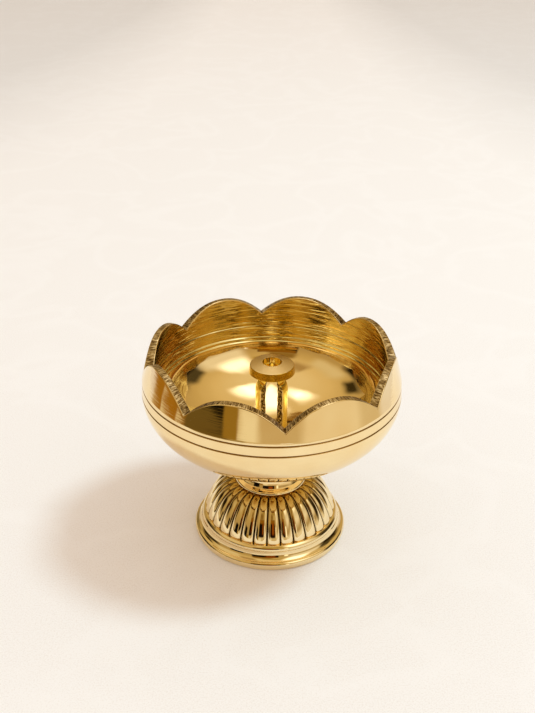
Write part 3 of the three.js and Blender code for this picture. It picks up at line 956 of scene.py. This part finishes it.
# Brass bored out, with the scores of the boring tool down the hole, 1.1 mm wide and longer than the hole.
def bored_brass():
    material, tree, shader = metal("brass_bored", "#F0DC90", 0.16)
    place = add(tree, "ShaderNodeTexCoord").outputs["Object"]
    scored = {"Vector": place, "Scale": (0.9 / MM, 0.9 / MM, 0.02 / MM)}
    stretched = add(tree, "ShaderNodeMapping", inputs=scored)
    scores = add(tree, "ShaderNodeTexNoise", inputs={"Vector": stretched, "Scale": 1, "Detail": 1})
    bump = add(tree, "ShaderNodeBump", inputs={"Strength": 1.0, "Distance": 0.5 * MM, "Height": scores})
    tree.links.new(bump.outputs[0], shader.inputs["Normal"])
    return material


def disc_outline():
    return [
        (4.9, SHOULDER, 0.1),
        (9.0, SHOULDER, 0.25),
        (8.5, SHOULDER + 3.0, 0.22),
        (DISC_HOLE, SHOULDER + 4.15, 0.12),
        (DISC_HOLE, SPIGOT_TOP, 0),
        (4.9, SPIGOT_TOP, 0),
    ]


def make_disc():
    disc = turned("wick_disc_turned", divided(rounded(disc_outline(), 6), 0.5), 192)
    burr, burr_reach = Vector((DISC_HOLE, 0.6, SHOULDER + 4.1)) * MM, 0.75 * MM
    for vertex in disc.data.vertices:
        near = 1 - (vertex.co - burr).length / burr_reach
        if near > 0:
            vertex.co.x += 0.3 * MM * near
            vertex.co.z -= 0.25 * MM * near
    for material in (faced_brass(), amber_brass(), bored_brass()):
        disc.data.materials.append(material)
    for face in disc.data.polygons:
        in_bore = face.center.xy.length < (DISC_HOLE + 0.05) * MM
        face.material_index = 0 if face.normal.z > 0.9 else 2 if in_bore else 1
    smoothed(disc, 40)
    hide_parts("wick_disc")
    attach(disc, "wick_holder")


make_disc()


# Sealing washer
# A black nitrile rubber ring, moulded, pinched between the stem's flange and the bowl's floor.
# It keeps the oil from leaking down the stud, and it isn't glued: it comes off together with the stem.
def nitrile_rubber():
    """Moulded nitrile rubber: dull black with a grain of 0.4 mm."""
    material = bpy.data.materials.new("nitrile_rubber_moulded")
    material.use_nodes = True
    tree = material.node_tree
    shader = tree.nodes["Principled BSDF"]
    shader.inputs["Base Color"].default_value = linear("#1B1A19")
    shader.inputs["Roughness"].default_value = 0.62
    place = add(tree, "ShaderNodeTexCoord").outputs["Object"]
    grain = add(tree, "ShaderNodeTexNoise", inputs={"Vector": place, "Scale": 2.4 / MM, "Detail": 2})
    bump = add(tree, "ShaderNodeBump", inputs={"Strength": 0.3, "Distance": 0.04 * MM, "Height": grain})
    tree.links.new(bump.outputs[0], shader.inputs["Normal"])
    return material


def flat_ring(name, inner, outer, bottom, thickness, fillet, material):
    top = bottom + thickness
    outline = [(inner, bottom, fillet), (outer, bottom, fillet), (outer, top, fillet), (inner, top, fillet)]
    ring = turned(name, rounded(outline, 3), 96)
    ring.data.materials.append(material)
    smoothed(ring, 40)
    return ring


thickness = SEAL_TOP - FLOOR_HEIGHT
seal = flat_ring("rubber_seal", BOLT_BORE, FLANGE_RADIUS, FLOOR_HEIGHT, thickness, 0.18, nitrile_rubber())
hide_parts("sealing_washer")
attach(seal, "seal")


# Fixing stud
# A length of M5 threaded rod, steel and zinc plated, chamfered at both ends.
# It runs up through foot, collar and bowl, and draws them together between the nut and the stem's hub.
def zinc_plate(name, colour, roughness):
    """Steel under zinc: pale grey metal with a faint bloom in patches of 2 mm."""
    material, tree, shader = metal(name, colour, roughness)
    place = add(tree, "ShaderNodeTexCoord").outputs["Object"]
    bloom = add(tree, "ShaderNodeTexNoise", inputs={"Vector": place, "Scale": 0.5 / MM, "Detail": 3})
    tone = add(tree, "ShaderNodeValToRGB", inputs=(bloom,), stops=((0.3, "#8F908E"), (0.7, colour)))
    tree.links.new(tone.outputs[0], shader.inputs["Base Color"])
    return material


def make_stud():
    low, high = (v.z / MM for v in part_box("fixing_stud"))
    crest, pitch, depth, chamfer, columns, per_turn = 2.5, 0.8, 0.49, 0.4, 24, 8
    heights = np.arange(low, high + 1e-6, pitch / per_turn)
    heights = np.append(heights[heights < high - 0.01], high)
    angles = np.arange(columns) * 2 * math.pi / columns
    phase = np.abs(((heights[:, None] / pitch - angles[None, :] / (2 * math.pi)) % 1) * 2 - 1)
    crest_flat, flank = 0.12, 0.76
    radius = crest - depth * np.clip((phase - crest_flat) / flank, 0, 1)
    ends = np.minimum(heights - low, high - heights)[:, None] + crest - chamfer
    radius = np.minimum(radius, ends)
    x, y = radius * np.cos(angles), radius * np.sin(angles)
    z = np.repeat(heights[:, None], columns, 1)
    vertices = (np.stack([x, y, z], 2).reshape(-1, 3) * MM).tolist()
    faces = [
        (start + i, start + (i + 1) % columns, start + columns + (i + 1) % columns, start + columns + i)
        for start in range(0, (len(heights) - 1) * columns, columns)
        for i in range(columns)
    ]
    last = (len(heights) - 1) * columns
    faces += [tuple(reversed(range(columns))), tuple(range(last, last + columns))]
    mesh = bpy.data.meshes.new("threaded_stud")
    mesh.from_pydata(vertices, [], faces)
    stud = bpy.data.objects.new("threaded_stud", mesh)
    bpy.context.collection.objects.link(stud)
    mesh.materials.append(zinc_plate("steel_zinc_plated_thread", "#C4C3BC", 0.32))
    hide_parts("fixing_stud")
    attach(stud, "lamp_body")


make_stud()


# Clamp washer
# A flat M5 washer, stamped from steel sheet and zinc plated.
# It lies on the stud under the crown of the foot, and spreads the nut's pull on the brass.
washer_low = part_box("clamp_washer")[0].z / MM
stamped = zinc_plate("steel_zinc_plated_stamped", "#BDBCB6", 0.28)
clamp = flat_ring("steel_washer", BOLT_BORE, 5, washer_low, 1, 0.15, stamped)
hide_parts("clamp_washer")
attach(clamp, "lamp_body")


# Clamp nut
# An M5 hexagon nut, forged in steel and zinc plated, 8 mm across its flats, with chamfered corners.
# It is screwed on the stud's lower end from inside the hollow foot, and holds the whole lamp together.
def make_nut():
    low, high = (v.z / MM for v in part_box("clamp_nut"))
    flats, chamfered, rows, columns = 4.0, 3.85, 9, 96
    corner = flats / math.cos(math.pi / 6)
    outline = [(BOLT_BORE, low)]
    outline += [(0, low + (high - low) * i / (rows - 1)) for i in range(rows)]
    outline += [(BOLT_BORE, high)]
    nut = turned("hexagon_nut", outline, columns)
    for vertex in nut.data.vertices:
        if vertex.co.xy.length > 0.001:
            continue
        index = vertex.index // len(outline)
        angle = index * 2 * math.pi / columns
        side = (angle % (math.pi / 3)) - math.pi / 6
        height = vertex.co.z / MM
        cone = chamfered + min(height - low, high - height) * math.sqrt(3)
        radius = min(flats / math.cos(side), cone, corner)
        vertex.co.xy = Vector((math.cos(angle), math.sin(angle))) * radius * MM
    nut.data.materials.append(zinc_plate("steel_zinc_plated_forged", "#C8C7C0", 0.3))
    smoothed(nut, 25)
    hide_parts("clamp_nut")
    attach(nut, "lamp_body")


make_nut()
